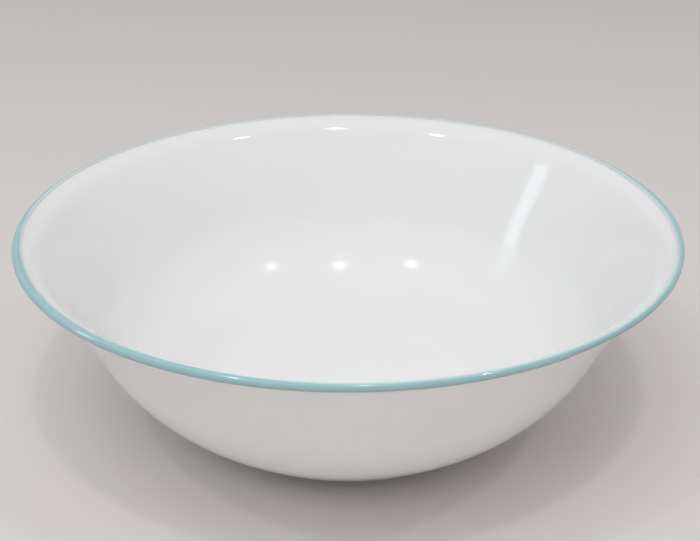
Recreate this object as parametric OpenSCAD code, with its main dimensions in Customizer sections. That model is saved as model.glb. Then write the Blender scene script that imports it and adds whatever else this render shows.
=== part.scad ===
// Round serving bowl of laminated white opal glass with a coloured enamel rim.
// A white core lies between two thin clear skins that close over its rounded edge,
// and a narrow band of enamel is fired on over that edge.
// The axis is Z, the foot stands on Z = 0, and all sizes are in millimetres.

/* [Bowl] */
// Diameter over the enamelled rim
rim_d = 260; // [250:1:272]
// Height from the foot to the top of the rim
height = 85; // [79:1:95]

/* [Foot] */
// Outer diameter of the flat ring that the bowl stands on
foot_d = 104; // [94:1:114]
// Width of the flat ring
foot_w = 8; // [4:0.5:14]
// Width of the slope from the ring up to the raised middle of the base
slope_w = 6; // [3:0.5:12]
// Height by which the middle of the base is raised
foot_rise = 0.6; // [0.2:0.1:1.5]
// Turn of the heel, in degrees, at which the skin under the foot ends and the skin of the wall begins
foot_turn = 6; // [4:1:12]

/* [Wall] */
// Radius of the heel, between the foot and the side above it, on the outside
heel_r = 32; // [26:1:38]
// Angle of the straight side above the heel, from the horizontal
heel_angle = 39; // [36:1:42]
// Length of the straight side, up to the belly
side_l = 12; // [6:1:16]
// Radius of the curve that flares the upper wall outwards, on the outside
flare_r = 150; // [120:5:180]
// Angle at which the flare runs into the rolled lip, from the horizontal
flare_angle = 54; // [51:1:57]
// Radius of the rolled lip, on the outside
lip_r = 14; // [11:1:17]
// Angle of the lip where the roll ends, from the horizontal
lip_angle = 34; // [31:1:38]
// Length of the straight lip above the roll, up to the rounded edge
lip_l = 4; // [3:0.5:5]

/* [Glass] */
// Thickness of the white core
core_t = 2.4; // [1.8:0.1:3]
// Thickness of each clear skin
skin_t = 0.2; // [0.15:0.05:0.4]

/* [Rim band] */
// Thickness of the enamel
band_t = 0.15; // [0.1:0.05:0.3]
// Length of the enamel down the outside of the lip, below the rounded edge
band_out = 0.3; // [0.2:0.1:1.5]
// Length of the enamel down the inside of the lip, below the rounded edge
band_in = 0.8; // [0.2:0.1:1.5]

/* [Hidden] */

// Largest turn between two points of a curve in degrees, for the wall and for the small edge,
// and the number of sides of a full turn.
wall_step = 4;
edge_step = 15;
$fn = 180;

// A line of the section climbs outwards at an angle from the horizontal.
function along(angle) = [cos(angle), sin(angle)];
function inward(angle) = [-sin(angle), cos(angle)];

// Points of an arc about a centre, from one angle of the line to another.
// A positive radius puts the arc on the inward side of its centre, and a negative one on the other.
function arc(centre, radius, start, end, step) =
    let (count = ceil(abs(end - start) / step))
    [for (i = [0 : count]) centre + radius * inward(start + (end - start) * i / count)];

function but_last(points) = [for (i = [0 : len(points) - 2]) points[i]];
function reversed(points) = [for (i = [len(points) - 1 : -1 : 0]) points[i]];

glass_t = core_t + 2 * skin_t;
edge_r = glass_t / 2;
core_edge_r = core_t / 2;
foot_r = foot_d / 2;
ring_r = foot_r - foot_w;
edge_at = [rim_d / 2 - band_t - edge_r, height - band_t - edge_r];

// The outside of the wall is a heel arc, a straight side, a belly arc, a flare arc and a rolled lip,
// each tangent to the next. The belly's radius is the one that meets both the side and the flare.
heel_at = [foot_r, heel_r];
side_end = heel_at - heel_r * inward(heel_angle) + side_l * along(heel_angle);
roll_at = edge_at - lip_l * along(lip_angle) - (edge_r + lip_r) * inward(lip_angle);
flare_at = roll_at + (lip_r - flare_r) * inward(flare_angle);
side_from_flare = side_end - flare_at;
belly_r = (side_from_flare * side_from_flare - flare_r * flare_r)
    / (2 * (flare_r - side_from_flare * inward(heel_angle)));
belly_at = side_end + belly_r * inward(heel_angle);
wall_normal = belly_at - flare_at;
wall_angle = atan2(-wall_normal.x, wall_normal.y);

// Point on the straight lip, a length below its end and a depth inside its outside face.
function lip_point(depth, length) =
    edge_at - length * along(lip_angle) + (depth - edge_r) * inward(lip_angle);

// Section line of the surface a depth inside the outside face.
// The foot's line runs from the axis to where the heel has lifted off, and the wall's from there to the lip.
function foot_face(depth) = concat(
    [[0, foot_rise + depth], [ring_r - slope_w, foot_rise + depth], [ring_r, depth]],
    arc(heel_at, depth - heel_r, 0, foot_turn, wall_step)
);
function wall_face(depth) = concat(
    arc(heel_at, depth - heel_r, foot_turn, heel_angle, wall_step),
    but_last(arc(belly_at, depth - belly_r, heel_angle, wall_angle, wall_step)),
    but_last(arc(flare_at, depth + flare_r, wall_angle, flare_angle, wall_step)),
    arc(roll_at, depth + lip_r, flare_angle, lip_angle, wall_step)
);
function face(depth) = concat(but_last(foot_face(depth)), wall_face(depth));

// Section line of the rounded edge: its outer half ends at the tip, where its inner half begins.
function outer_edge(radius) = arc(edge_at, radius, lip_angle - 180, lip_angle - 90, edge_step);
function inner_edge(radius) = arc(edge_at, radius, lip_angle - 90, lip_angle, edge_step);
function whole_edge(radius) = concat(but_last(outer_edge(radius)), inner_edge(radius));

// White body of the bowl, with a rounded edge.
module glass_core() {
    color("white")
        rotate_extrude()
            polygon(concat(
                face(skin_t),
                whole_edge(core_edge_r),
                reversed(face(skin_t + core_t))
            ));
}

// Clear skin under the foot, the part of the outside skin that meets the table.
module foot_skin() {
    color("lightsteelblue")
        rotate_extrude()
            polygon(concat(foot_face(0), reversed(foot_face(skin_t))));
}

// Clear skin round the outside of the wall, from the foot up to the tip of the edge.
module outer_skin() {
    color("ghostwhite")
        rotate_extrude()
            polygon(concat(
                wall_face(0),
                outer_edge(edge_r),
                reversed(outer_edge(core_edge_r)),
                reversed(wall_face(skin_t))
            ));
}

// Clear skin inside the bowl, up to the tip of the edge.
module inner_skin() {
    color("snow")
        rotate_extrude()
            polygon(concat(
                face(skin_t + core_t),
                reversed(inner_edge(core_edge_r)),
                inner_edge(edge_r),
                reversed(face(glass_t))
            ));
}

// Turquoise enamel over the rounded edge and a little way down both sides of the lip.
module rim_band() {
    color("mediumturquoise")
        rotate_extrude()
            polygon(concat(
                [lip_point(-band_t, band_out)],
                whole_edge(edge_r + band_t),
                [lip_point(glass_t + band_t, band_in), lip_point(glass_t, band_in)],
                reversed(whole_edge(edge_r)),
                [lip_point(0, band_out)]
            ));
}

glass_core();
foot_skin();
outer_skin();
inner_skin();
rim_band();
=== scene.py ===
"""Looks of a wide serving bowl of laminated white opal glass with a turquoise enamel rim.

The glass is a white core between clear skins, and the enamel is fired on over the rounded edge.
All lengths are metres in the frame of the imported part: Z is the bowl's axis, and the foot stands on Z = 0.
"""

import logging
from dataclasses import dataclass, field
from enum import Enum
from math import atan2, ceil, pi, radians

import bpy
import numpy as np
from mathutils import Matrix, Vector


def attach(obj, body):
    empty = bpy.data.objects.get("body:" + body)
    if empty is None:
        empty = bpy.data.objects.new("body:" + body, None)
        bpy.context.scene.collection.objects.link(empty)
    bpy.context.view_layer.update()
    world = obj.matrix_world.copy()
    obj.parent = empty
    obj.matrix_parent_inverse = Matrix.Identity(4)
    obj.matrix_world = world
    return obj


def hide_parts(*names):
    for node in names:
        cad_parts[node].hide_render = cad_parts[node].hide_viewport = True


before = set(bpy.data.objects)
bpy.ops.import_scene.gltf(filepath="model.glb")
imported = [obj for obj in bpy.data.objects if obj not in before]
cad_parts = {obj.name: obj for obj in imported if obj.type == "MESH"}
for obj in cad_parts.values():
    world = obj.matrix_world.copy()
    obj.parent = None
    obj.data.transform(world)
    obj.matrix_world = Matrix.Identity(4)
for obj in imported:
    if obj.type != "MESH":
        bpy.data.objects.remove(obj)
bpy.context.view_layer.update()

MM = 0.001
IMAGE_WIDTH = 700
SENSOR_WIDTH = 36.0
QUARTER_TURN = 0.25
log = logging.getLogger("serving_bowl")


def linear(hex_colour: str) -> tuple[float, float, float, float]:
    """Turns an sRGB colour into the linear one that Blender's sockets take.

    Args:
        hex_colour: Six hex digits, red, green and blue.

    Returns:
        Linear red, green, blue and an alpha of 1.
    """
    srgb = np.array([int(hex_colour[i : i + 2], 16) for i in (0, 2, 4)]) / 255
    light = np.where(srgb <= 0.04045, srgb / 12.92, ((srgb + 0.055) / 1.055) ** 2.4)
    return (*light.tolist(), 1.0)


def add_node(
    tree: bpy.types.NodeTree, kind: str, settings: dict, links: dict | None = None
) -> bpy.types.Node:
    """Adds a node with its settings and links.

    Args:
        tree: Node tree to add to.
        kind: Blender's type name of the node.
        settings: Values by name, of an input socket where there is one and otherwise of the node.
        links: Output sockets by the name of the input that each one feeds.

    Returns:
        The new node.
    """
    node = tree.nodes.new(kind)
    for name, value in settings.items():
        if name in node.inputs:
            node.inputs[name].default_value = value
        else:
            setattr(node, name, value)
    for name, socket in (links or {}).items():
        tree.links.new(socket, node.inputs[name])
    return node


def new_material(name: str) -> tuple[bpy.types.Material, bpy.types.NodeTree]:
    """Makes a material with an empty node tree.

    Args:
        name: Name of the material.

    Returns:
        The material and its node tree.
    """
    material = bpy.data.materials.new(name)
    material.use_nodes = True
    material.node_tree.nodes.clear()
    return material, material.node_tree


def smooth_step(share: np.ndarray) -> np.ndarray:
    """Eases a share from 0 to 1: three times its square less twice its cube, held at both ends."""
    held = np.clip(share, 0.0, 1.0)
    return held * held * (3.0 - 2.0 * held)


class Layer(Enum):
    """Layers of the glass, by the CAD node that each one stands for."""

    CORE = "glass_core"
    FOOT_SKIN = "foot_skin"
    OUTER_SKIN = "outer_skin"
    INNER_SKIN = "inner_skin"


@dataclass(frozen=True)
class FirePolish:
    """Fire-polished face of the glass: mirror-like, with a faint ripple.

    Where spoons rub, fine scuffs haze it and dull its mirror, and the piece's own wear attribute says where
    that is. The scuffs are drawn as patches, coarser than real scratches, so that they show.

    Attributes:
        gloss: Roughness of the fresh face.
        haze: Roughness of the worn face.
        haze_spread: Shares of that haze between which the scuffs vary it.
        mirror: Strength of the fresh face's mirror, where 0.5 is what the IOR gives.
        worn_mirror: Strength of the worn face's mirror.
        scuff_mm: Width of the patches of scuffs.
        ripple_mm: Width of the ripples.
        ripple_height: Height of the ripples.
    """

    WEAR = "wear"

    gloss: float = 0.09
    haze: float = 0.156
    haze_spread: tuple[float, float] = (0.92, 1.04)
    mirror: float = 0.5
    worn_mirror: float = 0.21
    scuff_mm: float = 4.0
    ripple_mm: float = 14.0
    ripple_height: float = 0.008 * MM

    def sockets(self, tree: bpy.types.NodeTree) -> dict[str, bpy.types.NodeSocket]:
        """Adds the nodes of the face.

        Args:
            tree: Node tree to add to.

        Returns:
            The roughness, the mirror's strength and the normal, by the name of the input that each one feeds.
        """
        place = add_node(tree, "ShaderNodeTexCoord", {}).outputs["Object"]
        wear = add_node(tree, "ShaderNodeAttribute", {"attribute_name": self.WEAR}).outputs["Fac"]
        scuff = add_node(
            tree, "ShaderNodeTexNoise", {"Scale": 1 / (self.scuff_mm * MM), "Detail": 3.0}, {"Vector": place}
        )
        least, most = self.haze_spread
        hazed = add_node(
            tree,
            "ShaderNodeMapRange",
            {"To Min": least * self.haze, "To Max": most * self.haze},
            {"Value": scuff.outputs["Fac"]},
        )
        rough = add_node(
            tree,
            "ShaderNodeMapRange",
            {"To Min": self.gloss},
            {"Value": wear, "To Max": hazed.outputs["Result"]},
        )
        ripple = add_node(
            tree, "ShaderNodeTexNoise", {"Scale": 1 / (self.ripple_mm * MM), "Detail": 0.0}, {"Vector": place}
        )
        bump = add_node(
            tree,
            "ShaderNodeBump",
            {"Strength": 1.0, "Distance": self.ripple_height},
            {"Height": ripple.outputs["Fac"]},
        )
        mirror = add_node(
            tree,
            "ShaderNodeMapRange",
            {"To Min": self.mirror, "To Max": self.worn_mirror},
            {"Value": wear},
        )
        return {
            "Roughness": rough.outputs["Result"],
            "Specular IOR Level": mirror.outputs["Result"],
            "Normal": bump.outputs["Normal"],
        }


@dataclass(frozen=True)
class OpalGlass:
    """Opal glass: a milky white that light sinks into before it comes back.

    That gives soft shade and a faint glow where the wall is lit from the other side.

    Attributes:
        white: Colour of the clearer glass.
        milk: Colour of the milkier glass.
        cloud_mm: Width of the clouds of milkiness.
        glow: Share of the light that sinks in.
        glow_depth: How far it sinks.
        glow_reach: Shares of that depth for red, green and blue.
    """

    name: str = "fire_polished_opal_glass"
    white: str = "F6F6F5"
    milk: str = "F4F4F3"
    cloud_mm: float = 55.0
    ior: float = 1.5
    glow: float = 0.5
    glow_depth: float = 2.5 * MM
    glow_reach: tuple[float, float, float] = (1.0, 0.95, 0.9)
    face: FirePolish = field(default_factory=FirePolish)

    def material(self) -> bpy.types.Material:
        """Builds the material.

        Returns:
            White glass with a barely uneven milkiness.
        """
        material, tree = new_material(self.name)
        place = add_node(tree, "ShaderNodeTexCoord", {}).outputs["Object"]
        cloud = add_node(
            tree, "ShaderNodeTexNoise", {"Scale": 1 / (self.cloud_mm * MM), "Detail": 1.0}, {"Vector": place}
        )
        white = add_node(tree, "ShaderNodeValToRGB", {}, {"Fac": cloud.outputs["Fac"]})
        clear, milky = white.color_ramp.elements
        clear.color, milky.color = linear(self.white), linear(self.milk)
        glass = add_node(
            tree,
            "ShaderNodeBsdfPrincipled",
            {
                "IOR": self.ior,
                "Subsurface Weight": self.glow,
                "Subsurface Radius": self.glow_reach,
                "Subsurface Scale": self.glow_depth,
            },
            {"Base Color": white.outputs["Color"], **self.face.sockets(tree)},
        )
        add_node(tree, "ShaderNodeOutputMaterial", {}, {"Surface": glass.outputs["BSDF"]})
        return material


@dataclass(frozen=True)
class ClearSkin:
    """Clear glass skin fused to the core: no colour of its own, and a sharp gloss over the white.

    Attributes:
        tint: Colour of the thin veil that it lays over the core.
        veil: How much of the core that veil hides, from 0 to 1.
    """

    name: str = "clear_glass_skin"
    tint: str = "F6F6F6"
    veil: float = 0.2
    ior: float = 1.5
    face: FirePolish = field(default_factory=FirePolish)

    def material(self) -> bpy.types.Material:
        """Builds the material.

        Returns:
            Glass that lets the core show through.
        """
        material, tree = new_material(self.name)
        glass = add_node(
            tree,
            "ShaderNodeBsdfPrincipled",
            {"Base Color": linear(self.tint), "IOR": self.ior, "Alpha": self.veil},
            self.face.sockets(tree),
        )
        add_node(tree, "ShaderNodeOutputMaterial", {}, {"Surface": glass.outputs["BSDF"]})
        return material


@dataclass(frozen=True)
class TurquoiseEnamel:
    """Fired turquoise enamel: glossy, paler where it thins out inside, deeper where it has pooled outside,
    and greyed there with painted shade where the edge turns under.

    Fine ridges along the rim, from the brush, spread its glints across the edge.

    Attributes:
        thin: Colour of the thinnest coat.
        body: Colour of the even coat.
        pooled_and_shaded: Colour of the thickest coat, greyed to paint the shade where the edge turns under.
        coats: Values of the coat_and_shade attribute, with the mottle added, that give those three colours.
        mottle_mm: Width of the brush's mottle.
        mottle: How far the mottle moves the coat up or down.
        brushed: How much rougher the enamel is across the ridges than along them, from 0 to 1.
    """

    name: str = "fired_turquoise_enamel"
    thin: str = "E4EDED"
    body: str = "9FCACC"
    # Painted shade: the pooled enamel's colour is greyed to stand for the shade where the edge turns under.
    pooled_and_shaded: str = "8A9CA0"
    coats: tuple[float, float, float] = (0.05, 0.5, 0.95)
    mottle_mm: float = 5.0
    mottle: float = 0.06
    roughness: float = 0.14
    brushed: float = 0.8
    ior: float = 1.7

    def material(self) -> bpy.types.Material:
        """Builds the material.

        Returns:
            Enamel coloured by the piece's own coat_and_shade attribute, with painted shade at the outer
            border and a faint mottle from the brush.
        """
        material, tree = new_material(self.name)
        coat_and_shade = add_node(tree, "ShaderNodeAttribute", {"attribute_name": EnamelBand.COAT})
        place = add_node(tree, "ShaderNodeTexCoord", {}).outputs["Object"]
        mottle = add_node(
            tree, "ShaderNodeTexNoise", {"Scale": 1 / (self.mottle_mm * MM), "Detail": 2.0}, {"Vector": place}
        )
        uneven = add_node(
            tree,
            "ShaderNodeMapRange",
            {"To Min": -self.mottle, "To Max": self.mottle},
            {"Value": mottle.outputs["Fac"]},
        )
        depth = add_node(tree, "ShaderNodeMath", {"operation": "ADD"})
        tree.links.new(coat_and_shade.outputs["Fac"], depth.inputs[0])
        tree.links.new(uneven.outputs["Result"], depth.inputs[1])
        ramp = add_node(tree, "ShaderNodeValToRGB", {}, {"Fac": depth.outputs["Value"]})
        stops = ramp.color_ramp.elements
        thin, body, pooled_and_shaded = self.coats
        stops[0].position, stops[0].color = thin, linear(self.thin)
        # Painted shade: the last stop, for pooled enamel, is greyed to stand for the shade under the edge.
        stops[1].position, stops[1].color = pooled_and_shaded, linear(self.pooled_and_shaded)
        stops.new(body).color = linear(self.body)
        rim = add_node(tree, "ShaderNodeTangent", {"direction_type": "RADIAL", "axis": "Z"})
        enamel = add_node(
            tree,
            "ShaderNodeBsdfPrincipled",
            {
                "Roughness": self.roughness,
                "IOR": self.ior,
                "Anisotropic": self.brushed,
                "Anisotropic Rotation": QUARTER_TURN,
            },
            {"Base Color": ramp.outputs["Color"], "Tangent": rim.outputs["Tangent"]},
        )
        add_node(tree, "ShaderNodeOutputMaterial", {}, {"Surface": enamel.outputs["BSDF"]})
        return material


@dataclass(frozen=True)
class PaleBoard:
    """Pale painted board under the bowl: matt, so it takes only soft shade and no glint."""

    name: str = "matt_pale_board"
    colour: str = "DFDAD7"
    roughness: float = 0.8
    ior: float = 1.3

    def material(self) -> bpy.types.Material:
        """Builds the material.

        Returns:
            A plain matt finish.
        """
        material, tree = new_material(self.name)
        board = add_node(
            tree,
            "ShaderNodeBsdfPrincipled",
            {"Base Color": linear(self.colour), "Roughness": self.roughness, "IOR": self.ior},
        )
        add_node(tree, "ShaderNodeOutputMaterial", {}, {"Surface": board.outputs["BSDF"]})
        return material


def along(angle: float | np.ndarray) -> np.ndarray:
    """Direction of a section line that climbs outwards at an angle: its cosine and sine."""
    return np.stack([np.cos(angle), np.sin(angle)], -1)


def inward(angle: float | np.ndarray) -> np.ndarray:
    """Direction across that line into the glass from outside: minus its sine, and its cosine."""
    return np.stack([-np.sin(angle), np.cos(angle)], -1)


@dataclass(frozen=True)
class Line:
    """A line of the section: each point is a base point plus a depth along a direction.

    Attributes:
        base: Rows of radius and height.
        across: Rows of direction, in radius and height.
        depth: Distance of each point along its direction.
        climb: Share of the way up the wall, from 0 at the foot to 1 at the edge.
    """

    base: np.ndarray
    across: np.ndarray
    depth: np.ndarray
    climb: np.ndarray

    def __add__(self, other: "Line") -> "Line":
        """Joins another line on at the end."""
        pairs = zip(vars(self).values(), vars(other).values())
        return Line(*(np.concatenate(pair) for pair in pairs))

    def back(self) -> "Line":
        """The same line from its end to its start."""
        return Line(*(rows[::-1] for rows in vars(self).values()))


@dataclass(frozen=True)
class Section:
    """Section of the bowl, with the sizes of the CAD solids.

    Attributes:
        levelled: How many of its own widths the slope gains at the inside face.
        spacing: Distance between points along the wall.
        foot_steps: Numbers of points across the raised middle, the slope and the ring.
    """

    rim_d: float = 260 * MM
    height: float = 85 * MM
    foot_d: float = 104 * MM
    foot_w: float = 8 * MM
    slope_w: float = 6 * MM
    foot_rise: float = 0.6 * MM
    foot_turn: float = radians(6)
    heel_r: float = 32 * MM
    heel_angle: float = radians(39)
    side_l: float = 12 * MM
    flare_r: float = 150 * MM
    flare_angle: float = radians(54)
    lip_r: float = 14 * MM
    lip_angle: float = radians(34)
    lip_l: float = 4 * MM
    core_t: float = 2.4 * MM
    skin_t: float = 0.2 * MM
    band_t: float = 0.15 * MM
    levelled: float = 5.0
    spacing: float = 1.6 * MM
    foot_steps: tuple[int, int, int] = (20, 12, 6)

    @property
    def glass_t(self) -> float:
        """Thickness of the core and both skins."""
        return self.core_t + 2 * self.skin_t

    @property
    def edge_r(self) -> float:
        """Radius of the rounded edge of the glass."""
        return self.glass_t / 2

    @property
    def edge_at(self) -> np.ndarray:
        """Centre of the rounded edge."""
        inset = self.band_t + self.edge_r
        return np.array([self.rim_d / 2 - inset, self.height - inset])

    def arc(
        self, centre: np.ndarray, radius: float, start: float, end: float
    ) -> tuple[np.ndarray, np.ndarray]:
        """Points of an arc on the outside face: its centre plus its radius times each direction inwards.

        Args:
            centre: Centre of the arc.
            radius: Radius, negative where the centre lies on the inner side.
            start: Angle of the section line where the arc starts.
            end: Angle of the section line where it ends.

        Returns:
            The points and the directions into the glass at them, without the last one.
        """
        count = ceil(abs(radius * (end - start)) / self.spacing)
        across = inward(np.linspace(start, end, count, endpoint=False))
        return centre + radius * across, across

    def straight(self, start: np.ndarray, end: np.ndarray, angle: float) -> tuple[np.ndarray, np.ndarray]:
        """Points of a straight stretch of the outside face: its start plus even shares of the way to its end.

        Args:
            start: Point where it starts.
            end: Point where it ends.
            angle: Angle of the section line along it.

        Returns:
            The points and the directions into the glass at them, without the last one.
        """
        count = ceil(np.linalg.norm(end - start) / self.spacing)
        share = np.linspace(0, 1, count, endpoint=False)
        return start + np.outer(share, end - start), np.tile(inward(angle), (count, 1))

    def foot(self, depth: float) -> Line:
        """Line under the base, a depth inside the outside face.

        The height is the rise of the middle, eased away over the slope, and then the heel's arc begins.
        The slope is longer inside, where the soft glass has levelled out.

        Args:
            depth: Distance inside the outside face.

        Returns:
            The line from the axis to where the heel has lifted off.
        """
        ring_r = self.foot_d / 2 - self.foot_w
        ends = (0.0, ring_r - self.slope_w, ring_r, self.foot_d / 2)
        spans = zip(ends, ends[1:], self.foot_steps)
        radius = np.concatenate([np.linspace(*span, endpoint=False) for span in spans])
        slope = self.slope_w * (1 + self.levelled * depth / self.glass_t)
        rise = self.foot_rise * smooth_step((ring_r - radius) / slope)
        flat = np.tile([0.0, 1.0], (len(radius), 1))
        heel = self.arc(np.array([self.foot_d / 2, self.heel_r]), -self.heel_r, 0.0, self.foot_turn)
        base = np.concatenate([np.stack([radius, rise], -1), heel[0]])
        return Line(base, np.concatenate([flat, heel[1]]), np.full(len(base), depth), np.zeros(len(base)))

    def wall(self, depth: float) -> Line:
        """Line up the wall, a depth inside the outside face.

        A heel arc, a straight side, a belly arc, a flare arc, a rolled lip and its straight end follow
        each other, each tangent to the next. The belly's radius is the one that meets both neighbours.

        Args:
            depth: Distance inside the outside face.

        Returns:
            The line from where the heel has lifted off to the end of the lip.
        """
        heel_at = np.array([self.foot_d / 2, self.heel_r])
        side_start = heel_at - self.heel_r * inward(self.heel_angle)
        side_end = side_start + self.side_l * along(self.heel_angle)
        lip_end = self.edge_at - self.edge_r * inward(self.lip_angle)
        lip_start = lip_end - self.lip_l * along(self.lip_angle)
        roll_at = lip_start - self.lip_r * inward(self.lip_angle)
        flare_at = roll_at + (self.lip_r - self.flare_r) * inward(self.flare_angle)
        reach = side_end - flare_at
        belly_r = (reach @ reach - self.flare_r**2) / (2 * (self.flare_r - reach @ inward(self.heel_angle)))
        belly_at = side_end + belly_r * inward(self.heel_angle)
        wall_angle = atan2(*((belly_at - flare_at) * (-1, 1)))
        parts = [
            self.arc(heel_at, -self.heel_r, self.foot_turn, self.heel_angle),
            self.straight(side_start, side_end, self.heel_angle),
            self.arc(belly_at, -belly_r, self.heel_angle, wall_angle),
            self.arc(flare_at, self.flare_r, wall_angle, self.flare_angle),
            self.arc(roll_at, self.lip_r, self.flare_angle, self.lip_angle),
            self.straight(lip_start, lip_end, self.lip_angle),
            (lip_end[None], inward(self.lip_angle)[None]),
        ]
        base, across = (np.concatenate(group) for group in zip(*parts))
        steps = np.linalg.norm(np.diff(base, axis=0), axis=1)
        climb = np.concatenate([[0.0], np.cumsum(steps)]) / steps.sum()
        return Line(base, across, np.full(len(base), depth), climb)

    def edge(self, radius: float, start: float, end: float, count: int = 12) -> Line:
        """Line round the edge: its centre plus a radius along directions that turn from one angle to another.

        Args:
            radius: Radius about the edge's centre.
            start: First angle, from -pi at the outside of the lip.
            end: Last angle, up to 0 at the inside of the lip.
            count: Number of points.

        Returns:
            The line, without the points at its ends, where the lines of the faces end.
        """
        across = inward(self.lip_angle + np.linspace(start, end, count + 2)[1:-1])
        return Line(np.tile(self.edge_at, (count, 1)), across, np.full(count, radius), np.ones(count))


@dataclass
class Turned:
    """A turned surface on a grid of turns and section points.

    Attributes:
        radius: Distance from the axis, one row for each turn.
        height: Height above the foot, likewise.
        turn: Angle about the axis of each row.
        ring: True where each section is a closed loop, and False where it runs from the axis to the axis.
    """

    SHARP = radians(40)

    radius: np.ndarray
    height: np.ndarray
    turn: np.ndarray
    ring: bool

    def piece(self, name: str, material: bpy.types.Material) -> bpy.types.Object:
        """Makes a closed mesh, faces outwards: x and y are the radius times the turn's cosine and sine.

        Args:
            name: Name of the piece.
            material: Its finish.

        Returns:
            The new object, at the origin.
        """
        spin = self.turn[:, None]
        grid = np.stack([self.radius * np.cos(spin), self.radius * np.sin(spin), self.height], -1)
        points = grid if self.ring else grid[:, 1:-1]
        turns, count = points.shape[:2]
        index = np.arange(turns * count).reshape(turns, count)
        ahead = np.roll(index, -1, axis=0)
        if self.ring:
            index, ahead = (np.concatenate([part, part[:, :1]], axis=1) for part in (index, ahead))
        corners = (index[:, :-1], ahead[:, :-1], ahead[:, 1:], index[:, 1:])
        faces = np.stack([corner.ravel() for corner in corners], -1).tolist()
        vertices = points.reshape(-1, 3)
        if not self.ring:
            first, last = turns * count, turns * count + 1
            vertices = np.concatenate([vertices, grid[:1, 0], grid[:1, -1]])
            faces += np.stack([np.full(turns, first), ahead[:, 0], index[:, 0]], -1).tolist()
            faces += np.stack([index[:, -1], ahead[:, -1], np.full(turns, last)], -1).tolist()
        mesh = bpy.data.meshes.new(name)
        mesh.from_pydata(vertices.tolist(), [], faces)
        mesh.shade_smooth()
        mesh.set_sharp_from_angle(angle=self.SHARP)
        mesh.materials.append(material)
        piece = bpy.data.objects.new(name, mesh)
        bpy.context.scene.collection.objects.link(piece)
        return piece

    def paint(self, piece: bpy.types.Object, name: str, values: np.ndarray) -> None:
        """Gives the piece's points an attribute.

        Args:
            piece: Piece made by this surface.
            name: Name of the attribute.
            values: One value for each point of the grid.
        """
        shares = values.ravel()
        if not self.ring:
            shares = np.append(values[:, 1:-1].ravel(), [values[0, 0], values[0, -1]])
        held = piece.data.attributes.new(name, "FLOAT", "POINT")
        held.data.foreach_set("value", shares.astype(np.float32))


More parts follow.
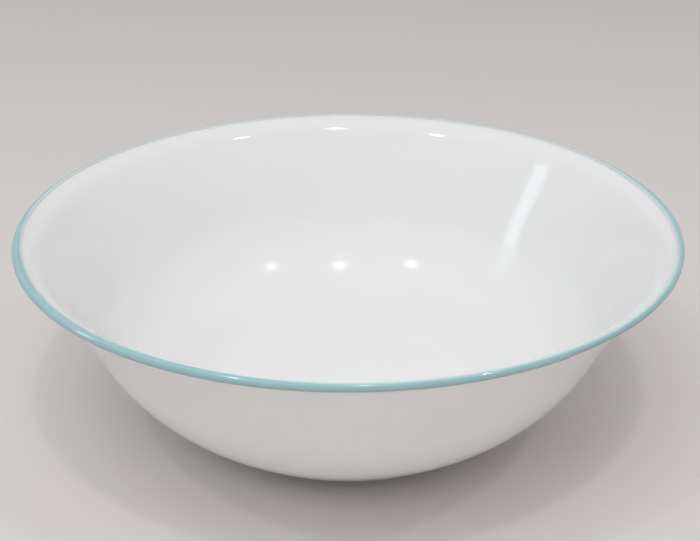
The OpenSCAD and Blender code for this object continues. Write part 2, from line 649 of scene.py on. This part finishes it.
@dataclass
class LaminatedBowl:
    """The glass: a white core, and clear skins fused to it under the foot, round the wall and inside.

    Attributes:
        turns: Number of sections round the axis.
        fused: How far each skin sinks into the core, so that no gap shows.
        sway: How far the wall strays at most.
        rubbed_top: Height where the wear ends.
        rubbed: Height up to which the belly is worn most.
        rubbed_low: Height from which it is worn most.
        bottom: Height up to which the bottom is worn less.
        bottom_wear: Share of the wear on the bottom.
    """

    section: Section = field(default_factory=Section)
    core: OpalGlass = field(default_factory=OpalGlass)
    skin: ClearSkin = field(default_factory=ClearSkin)
    turns: int = 240
    fused: float = 0.01 * MM
    sway: float = 0.12 * MM
    rubbed_top: float = 43.5 * MM
    rubbed: float = 38 * MM
    rubbed_low: float = 19 * MM
    bottom: float = 10 * MM
    bottom_wear: float = 0.15

    def lines(self, layer: Layer) -> tuple[Line, bool]:
        """Section of a layer.

        Args:
            layer: Which layer.

        Returns:
            Its line, round the outside first, and whether that line is a closed loop.
        """
        cut, inside = self.section, self.section.skin_t + self.section.core_t
        skin_t, core_r, glass_t, edge_r = cut.skin_t, cut.core_t / 2, cut.glass_t, cut.edge_r
        tip = -pi / 2
        if layer is Layer.CORE:
            under = cut.foot(skin_t) + cut.wall(skin_t) + cut.edge(core_r, -pi, 0.0)
            return under + cut.wall(inside).back() + cut.foot(inside).back(), False
        if layer is Layer.FOOT_SKIN:
            return cut.foot(0.0) + cut.foot(skin_t + self.fused).back(), False
        if layer is Layer.OUTER_SKIN:
            outside = cut.wall(0.0) + cut.edge(edge_r, -pi, tip)
            under = cut.edge(core_r - self.fused, tip, -pi) + cut.wall(skin_t + self.fused).back()
            return outside + under, True
        under = cut.foot(inside - self.fused) + cut.wall(inside - self.fused)
        over = cut.edge(core_r - self.fused, 0.0, tip) + cut.edge(edge_r, tip, 0.0)
        return under + over + cut.wall(glass_t).back() + cut.foot(glass_t).back(), False

    def uneven(self, turn: np.ndarray, climb: np.ndarray) -> np.ndarray:
        """How far the wall strays inwards: three slow waves round the bowl that lean as they climb.

        Each wave is a sine of a whole number of turns plus a share of the climb, and the squared sine
        of the climb fades them out at the foot and at the edge.

        Args:
            turn: Angles about the axis.
            climb: Shares of the way up the wall.

        Returns:
            Distances, one row for each turn.
        """
        spin, rise = turn[:, None], climb[None, :]
        waves = (
            0.5 * np.sin(2 * spin + 0.7)
            + 0.3 * np.sin(3 * spin + 2.1 + 2 * pi * rise)
            + 0.2 * np.sin(5 * spin + 4.0 - 3 * pi * rise)
        )
        return self.sway * np.sin(pi * rise) ** 2 * waves

    def wear(self, line: Line) -> np.ndarray:
        """How far spoons have hazed the glass: most of all on the belly inside, less on the bottom, else not.

        The share climbs with an eased step from the bottom's to 1, and falls with another to 0 at the top.

        Args:
            line: Section of a layer.

        Returns:
            A share from 0 to 1 at each point of the line.
        """
        height = line.base[:, 1] + line.depth * line.across[:, 1]
        below = smooth_step((self.rubbed_top - height) / (self.rubbed_top - self.rubbed))
        side = smooth_step((height - self.bottom) / (self.rubbed_low - self.bottom))
        inside = line.depth > self.section.glass_t / 2
        return inside * below * (self.bottom_wear + (1 - self.bottom_wear) * side)

    def build(self) -> dict[Layer, bpy.types.Object]:
        """Makes the four layers.

        Returns:
            The pieces by layer.
        """
        turn = np.linspace(0, 2 * pi, self.turns, endpoint=False)
        core, skin = self.core.material(), self.skin.material()
        pieces = {}
        for layer in Layer:
            line, ring = self.lines(layer)
            depth = line.depth + self.uneven(turn, line.climb)
            radius, height = (line.base[:, axis] + depth * line.across[:, axis] for axis in (0, 1))
            shape = Turned(radius, height, turn, ring)
            pieces[layer] = shape.piece(f"bowl_{layer.value}", core if layer is Layer.CORE else skin)
            shape.paint(pieces[layer], FirePolish.WEAR, np.tile(self.wear(line), (self.turns, 1)))
        return pieces


@dataclass
class EnamelBand:
    """Enamel over the rounded edge and a little way down both sides of the lip, with uneven borders.

    Attributes:
        turns: Number of sections round the axis.
        start: Mean length of the outer border round the edge, from the outside of the lip.
        end: Mean length of the inner border, likewise.
        waver: How far the outer border wavers.
        lap_turn: Angle about the axis of the lap.
        lap_rise: How far the outer border is set back at the lap.
        lap_l: Length along the rim over which it steps back.
        lap_fade: Turn over which it eases down again.
        lap_close: Turn on each side of the lap with closer sections.
        lap_turns: Number of those sections.
        across: Number of points from border to border.
        thickness: Thickness of the enamel.
        bead: Width over which it swells from a border.
        fade: Width over which the coat thins out at the inner border.
        pool_and_shade: Width over which the enamel has pooled, and is darkened with painted shade, at the
            outer border.
        fused: How far the enamel sinks into the glass, so that no gap shows.
    """

    # Attribute of the enamel's thickness; near the outer border it also carries painted shade.
    COAT = "coat_and_shade"

    section: Section = field(default_factory=Section)
    finish: TurquoiseEnamel = field(default_factory=TurquoiseEnamel)
    turns: int = 720
    start: float = 0.05 * MM
    end: float = 4.72 * MM
    waver: float = 0.05 * MM
    lap_turn: float = radians(-57.9)
    lap_rise: float = 0.9 * MM
    lap_l: float = 1.2 * MM
    lap_fade: float = radians(30)
    lap_close: float = radians(2.5)
    lap_turns: int = 60
    across: int = 44
    thickness: float = 0.105 * MM
    bead: float = 0.3 * MM
    fade: float = 1.2 * MM
    pool_and_shade: float = 0.95 * MM
    fused: float = 0.01 * MM

    def borders(self, turn: np.ndarray) -> tuple[np.ndarray, np.ndarray]:
        """Where the enamel starts and ends, as lengths round the edge from the outside of the lip.

        The outer border is set back just past the lap, where the brush came off, and soon eases down again.
        It wavers nine times in a turn. The inner one swings with a sum of five slow waves, a cosine of one to
        five times the turn each, and reaches furthest down at the left.

        Args:
            turn: Angles about the axis.

        Returns:
            The lengths of the outer and the inner border at each angle.
        """
        done = np.mod(turn - self.lap_turn, 2 * pi)
        past = done * self.section.rim_d / 2 / self.lap_l
        set_back = self.lap_rise * smooth_step(past) * (1 - smooth_step(done / self.lap_fade))
        outer = self.start + set_back + self.waver * np.sin(9 * turn + 1.0)
        waves = (
            0.51 * np.cos(turn + 2.7)
            + 0.81 * np.cos(2 * turn - 0.9)
            + 0.56 * np.cos(3 * turn + 0.8)
            + 0.13 * np.cos(4 * turn - 2.2)
            + 0.25 * np.cos(5 * turn)
        )
        return outer, self.end + MM * waves

    def build(self) -> bpy.types.Object:
        """Makes the band: the lip's and edge's faces, raised by the enamel's thickness, and back under it.

        The thickness swells from each border as a quarter round does. The coat_and_shade attribute tells the
        finish how
        thick the enamel lies: it is the mean of a share that falls to 0 at the inner border and one that
        decays from 1 at the outer border. That outer share also paints the shade where the edge turns under.

        Returns:
            The piece.
        """
        cut = self.section
        close = self.lap_turn + np.linspace(-1, 1, self.lap_turns) * self.lap_close
        turn = np.concatenate([np.linspace(0, 2 * pi, self.turns, endpoint=False), close])
        turn = np.unique(np.mod(turn, 2 * pi))
        outer, inner = (border[:, None] for border in self.borders(turn))
        share = 0.5 - 0.5 * np.cos(np.linspace(0, pi, self.across))
        place = outer + (inner - outer) * share
        half_round = pi * cut.edge_r
        length = np.maximum(-place, 0) + np.maximum(place - half_round, 0)
        angle = np.clip(place / cut.edge_r, 0, pi) - pi
        border = np.clip(np.minimum(place - outer, inner - place) / self.bead, 0, 1)
        over = cut.edge_r + self.thickness * np.sqrt(1 - (1 - border) ** 2)
        under = np.full_like(over, cut.edge_r - self.fused)
        base = cut.edge_at - length[..., None] * along(cut.lip_angle)
        faces = [base + rise[..., None] * inward(cut.lip_angle + angle) for rise in (over, under)]
        loop = np.concatenate([faces[0], faces[1][:, ::-1]], axis=1)
        shape = Turned(loop[..., 0], loop[..., 1], turn, True)
        piece = shape.piece("bowl_rim_band", self.finish.material())
        # Painted shade: the share that decays from the outer border darkens the enamel there, for pooling and
        # for the shade under the edge.
        coat_and_shade = (np.clip((inner - place) / self.fade, 0, 1) + np.exp((outer - place) / self.pool_and_shade)) / 2
        shape.paint(piece, self.COAT, np.concatenate([coat_and_shade, coat_and_shade[:, ::-1]], axis=1))
        return piece


@dataclass(frozen=True)
class SoftPanel:
    """A square panel that lights the bowl softly and isn't mirrored in it.

    Attributes:
        name: Name of the light.
        at: Its middle.
        size: Length of its sides.
        radiance: How bright its face is, where 1 is white.
    """

    name: str
    at: tuple[float, float, float]
    size: float
    radiance: float


@dataclass
class Studio:
    """Pale board, soft light from above and in front, three small lamps, a tall window, and the camera.

    Attributes:
        board_r: Radius of the board, wide enough to fill the view.
        board_sides: Number of its sides.
        room_level: How bright the room is on average.
        room_lean: How much brighter it is towards +X, +Y and +Z.
        panels: Soft panels in front and above.
        lamp_height: Height of the lamps.
        lamp_d: Diameter of each lamp.
        lamp_radiance: How bright a lamp's face is, where 1 is white.
        lamps: Places of the lamps in X and Y.
        window_low: Middle of the window's lower end.
        window_high: Middle of its upper end.
        window_w: Its width.
        window_radiance: How bright it is, where 1 is white.
        eye: Place of the camera.
        pitch: How far the camera looks down.
        focal_px: Focal length in pixels, for a picture as wide as IMAGE_WIDTH.
        bounces: Limits of all bounces of light, of mirrored, of scattered and of those through clear skins.
    """

    board: PaleBoard = field(default_factory=PaleBoard)
    board_r: float = 14.0
    board_sides: int = 64
    room_colour: str = "FDFDFF"
    room_level: float = 0.278
    room_lean: tuple[float, float, float] = (0.043, 0.194, 0.27)
    panels: tuple[SoftPanel, ...] = (
        SoftPanel("high_panel", at=(-0.2, -0.8, 1.6), size=1.2, radiance=2.27),
        SoftPanel("front_panel", at=(0.0, -1.6, 0.5), size=1.0, radiance=0.83),
    )
    lamp_height: float = 2.0
    lamp_d: float = 0.1
    lamp_radiance: float = 130.0
    lamps: tuple[tuple[float, float], ...] = ((1.13, -0.583), (0.115, -0.75), (-0.938, -0.71))
    window_low: tuple[float, float, float] = (-2.0, -0.1, 0.5)
    window_high: tuple[float, float, float] = (-2.0, 0.29, 1.54)
    window_w: float = 0.25
    window_radiance: float = 4.4
    window_colour: str = "E6F1FF"
    eye: tuple[float, float, float] = (0.7 * MM, -405.6 * MM, 256.75 * MM)
    pitch: float = radians(25.94)
    focal_px: float = 1100.0
    bounces: tuple[int, int, int, int] = (24, 16, 6, 40)

    def lay_board(self) -> bpy.types.Object:
        """Lays the board: one wide flat face on Z = 0, with its corners on a circle.

        Returns:
            The board.
        """
        turn = np.linspace(0, 2 * pi, self.board_sides, endpoint=False)
        rim = self.board_r * np.stack([np.cos(turn), np.sin(turn), 0 * turn], -1)
        mesh = bpy.data.meshes.new("board")
        mesh.from_pydata(rim.tolist(), [], [list(range(len(rim)))])
        mesh.materials.append(self.board.material())
        board = bpy.data.objects.new("board", mesh)
        bpy.context.scene.collection.objects.link(board)
        return board

    def light_room(self) -> bpy.types.World:
        """Lights the room: a level, plus how far each direction points along the side that is brighter.

        Returns:
            The world.
        """
        world = bpy.data.worlds.new("room")
        bpy.context.scene.world = world
        world.use_nodes = True
        tree = world.node_tree
        tree.nodes.clear()
        ray = add_node(tree, "ShaderNodeTexCoord", {}).outputs["Generated"]
        lean = add_node(tree, "ShaderNodeVectorMath", {"operation": "DOT_PRODUCT"})
        lean.inputs[1].default_value = self.room_lean
        tree.links.new(ray, lean.inputs[0])
        level = add_node(tree, "ShaderNodeMath", {"operation": "ADD"})
        level.inputs[1].default_value = self.room_level
        tree.links.new(lean.outputs["Value"], level.inputs[0])
        colour = linear(self.room_colour)
        sky = add_node(tree, "ShaderNodeBackground", {"Color": colour}, {"Strength": level.outputs["Value"]})
        add_node(tree, "ShaderNodeOutputWorld", {}, {"Surface": sky.outputs["Background"]})
        return world

    def hang(
        self, name: str, place: Matrix, size: tuple[float, float], shape: str, radiance: float
    ) -> bpy.types.Object:
        """Hangs an area light whose power is its radiance times its area times pi.

        Args:
            name: Name of the light.
            place: Its place and turn. It shines along its own -Z.
            size: Its width and height.
            shape: Blender's name of its shape.
            radiance: How bright its face is, where 1 is white.

        Returns:
            The light's object.
        """
        lamp = bpy.data.lights.new(name, "AREA")
        lamp.shape = shape
        lamp.size, lamp.size_y = size
        area = size[0] * size[1] * (pi / 4 if shape == "ELLIPSE" else 1.0)
        lamp.energy = radiance * area * pi
        holder = bpy.data.objects.new(name, lamp)
        holder.matrix_world = place
        holder.visible_camera = False
        bpy.context.scene.collection.objects.link(holder)
        return holder

    def hang_lights(self) -> list[bpy.types.Object]:
        """Hangs the soft panels, which face the bowl, the three lamps and the window.

        Returns:
            The lights, in that order.
        """
        made = []
        for panel in self.panels:
            place = Matrix.LocRotScale(panel.at, Vector(panel.at).to_track_quat("Z", "Y"), None)
            made.append(self.hang(panel.name, place, (panel.size, panel.size), "RECTANGLE", panel.radiance))
            made[-1].visible_glossy = False
        for number, (right, ahead) in enumerate(self.lamps, 1):
            place = Matrix.Translation((right, ahead, self.lamp_height))
            size = (self.lamp_d, self.lamp_d)
            made.append(self.hang(f"lamp_{number}", place, size, "ELLIPSE", self.lamp_radiance))
        low, high = Vector(self.window_low), Vector(self.window_high)
        upright = (high - low).normalized()
        side = upright.cross(low).normalized()
        turn = Matrix((side, upright, side.cross(upright))).transposed()
        place = Matrix.LocRotScale((low + high) / 2, turn, None)
        size = (self.window_w, (high - low).length)
        window = self.hang("window", place, size, "RECTANGLE", self.window_radiance)
        window.data.color = linear(self.window_colour)[:3]
        return [*made, window]

    def set_camera(self) -> bpy.types.Object:
        """Sets the camera: it looks along +Y, pitched down, with the photo's focal length in pixels.

        Returns:
            The camera.
        """
        lens = bpy.data.cameras.new("camera")
        lens.sensor_fit = "HORIZONTAL"
        lens.sensor_width = SENSOR_WIDTH
        lens.lens = self.focal_px / IMAGE_WIDTH * SENSOR_WIDTH
        camera = bpy.data.objects.new("camera", lens)
        camera.location = self.eye
        camera.rotation_euler = (pi / 2 - self.pitch, 0.0, 0.0)
        bpy.context.scene.collection.objects.link(camera)
        bpy.context.scene.camera = camera
        return camera

    def build(self) -> None:
        """Sets the camera, board, room and lights, with colours shown as they are written.

        Light that skims the white wall is mirrored along it many times, so the paths run long.
        """
        bpy.context.scene.view_settings.view_transform = "Standard"
        paths = bpy.context.scene.cycles
        paths.max_bounces, paths.glossy_bounces, paths.diffuse_bounces = self.bounces[:3]
        paths.transparent_max_bounces = self.bounces[3]
        self.set_camera()
        self.lay_board()
        self.light_room()
        self.hang_lights()


def mount(piece: bpy.types.Object, node: str) -> None:
    """Lets a piece stand for a CAD node and ride on the part, with the node itself hidden.

    Args:
        piece: The piece.
        node: Name of the node.
    """
    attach(piece, "root")
    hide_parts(node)
    log.info("%s stands for %s: %d faces", piece.name, node, len(piece.data.polygons))


def main() -> None:
    """Builds the bowl and the studio, and lets the pieces stand for the CAD nodes."""
    logging.basicConfig(level=logging.INFO, format="%(name)s: %(message)s")
    Studio().build()
    for layer, piece in LaminatedBowl().build().items():
        mount(piece, layer.value)
    mount(EnamelBand().build(), "rim_band")


if __name__ == "__main__":
    main()
